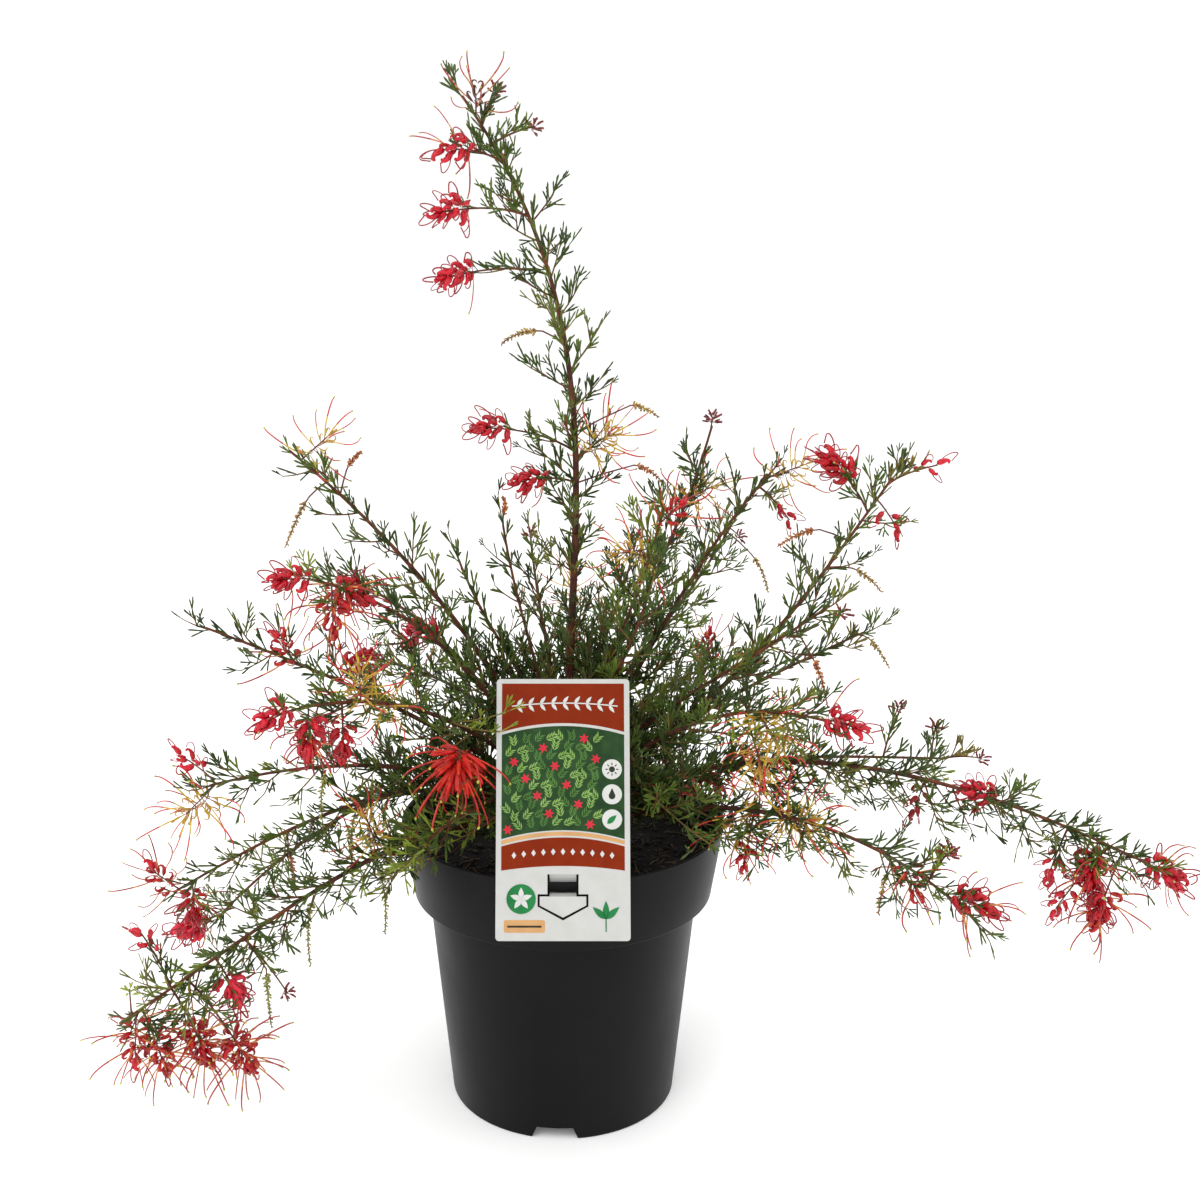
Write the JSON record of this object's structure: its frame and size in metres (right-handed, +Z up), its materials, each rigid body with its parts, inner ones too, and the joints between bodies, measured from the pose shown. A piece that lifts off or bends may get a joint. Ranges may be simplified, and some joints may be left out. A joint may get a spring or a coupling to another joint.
{
  "type": "potted spider net grevillea",
  "caption": "Flowering shrub with fine divided leaves and red spider blooms on arching boughs, in a black nursery pot of potting mix with a card tag on its rim.",
  "frame": {"origin": "centre of the flat pad under the pot, on the surface that it stands on", "axes": "+Z up, the tag faces -Y, and +X is to the right as one looks at the tag"},
  "size_m": [0.6244, 0.3882, 0.6302],
  "materials": {
    "pot_plastic": "satin moulded black",
    "potting_mix": "loose composted bark",
    "tag_card": "satin printed card",
    "bark": "matt reddish brown bark",
    "foliage": "matt green needle leaves with red blooms"
  },
  "bodies": {
    "root": {"pot": "pot_plastic", "potting_mix": "potting_mix", "tag": "tag_card", "trunk": "bark", "bough_leader": "bark", "foliage_leader": "foliage", "bough_up_left": "bark", "foliage_up_left": "foliage", "bough_left_high": "bark", "foliage_left_high": "foliage", "bough_left_mid": "bark", "foliage_left_mid": "foliage", "bough_left_long": "bark", "foliage_left_long": "foliage", "bough_left_low": "bark", "foliage_left_low": "foliage", "bough_left_flat": "bark", "foliage_left_flat": "foliage", "bough_left_droop": "bark", "foliage_left_droop": "foliage", "bough_left_mid_droop": "bark", "foliage_left_mid_droop": "foliage", "bough_low_left": "bark", "foliage_low_left": "foliage", "foliage_short_left": "foliage", "foliage_mid_up_left": "foliage", "foliage_front_up": "foliage", "foliage_spider_up": "foliage", "foliage_bud_up": "foliage", "bough_upright": "bark", "foliage_upright": "foliage", "bough_upright_back": "bark", "foliage_upright_back": "foliage", "bough_right_up": "bark", "foliage_right_up": "foliage", "foliage_right_fork": "foliage", "bough_right_mid": "bark", "foliage_right_mid": "foliage", "bough_right_near": "bark", "foliage_right_near": "foliage", "bough_right_long": "bark", "foliage_right_long": "foliage", "bough_right_slim": "bark", "foliage_right_slim": "foliage", "bough_right_low": "bark", "foliage_right_low": "foliage", "foliage_front_left": "foliage", "foliage_front_right": "foliage", "bough_back_right": "bark", "foliage_back_right": "foliage", "bough_back_mid": "bark", "foliage_back_mid": "foliage", "bough_back_left": "bark", "foliage_back_left": "foliage", "foliage_back_up_right": "foliage", "foliage_back_up_left": "foliage", "bough_back_low_right": "bark", "foliage_back_low_right": "foliage", "bough_back_low_left": "bark", "foliage_back_low_left": "foliage"}
  },
  "joints": []
}
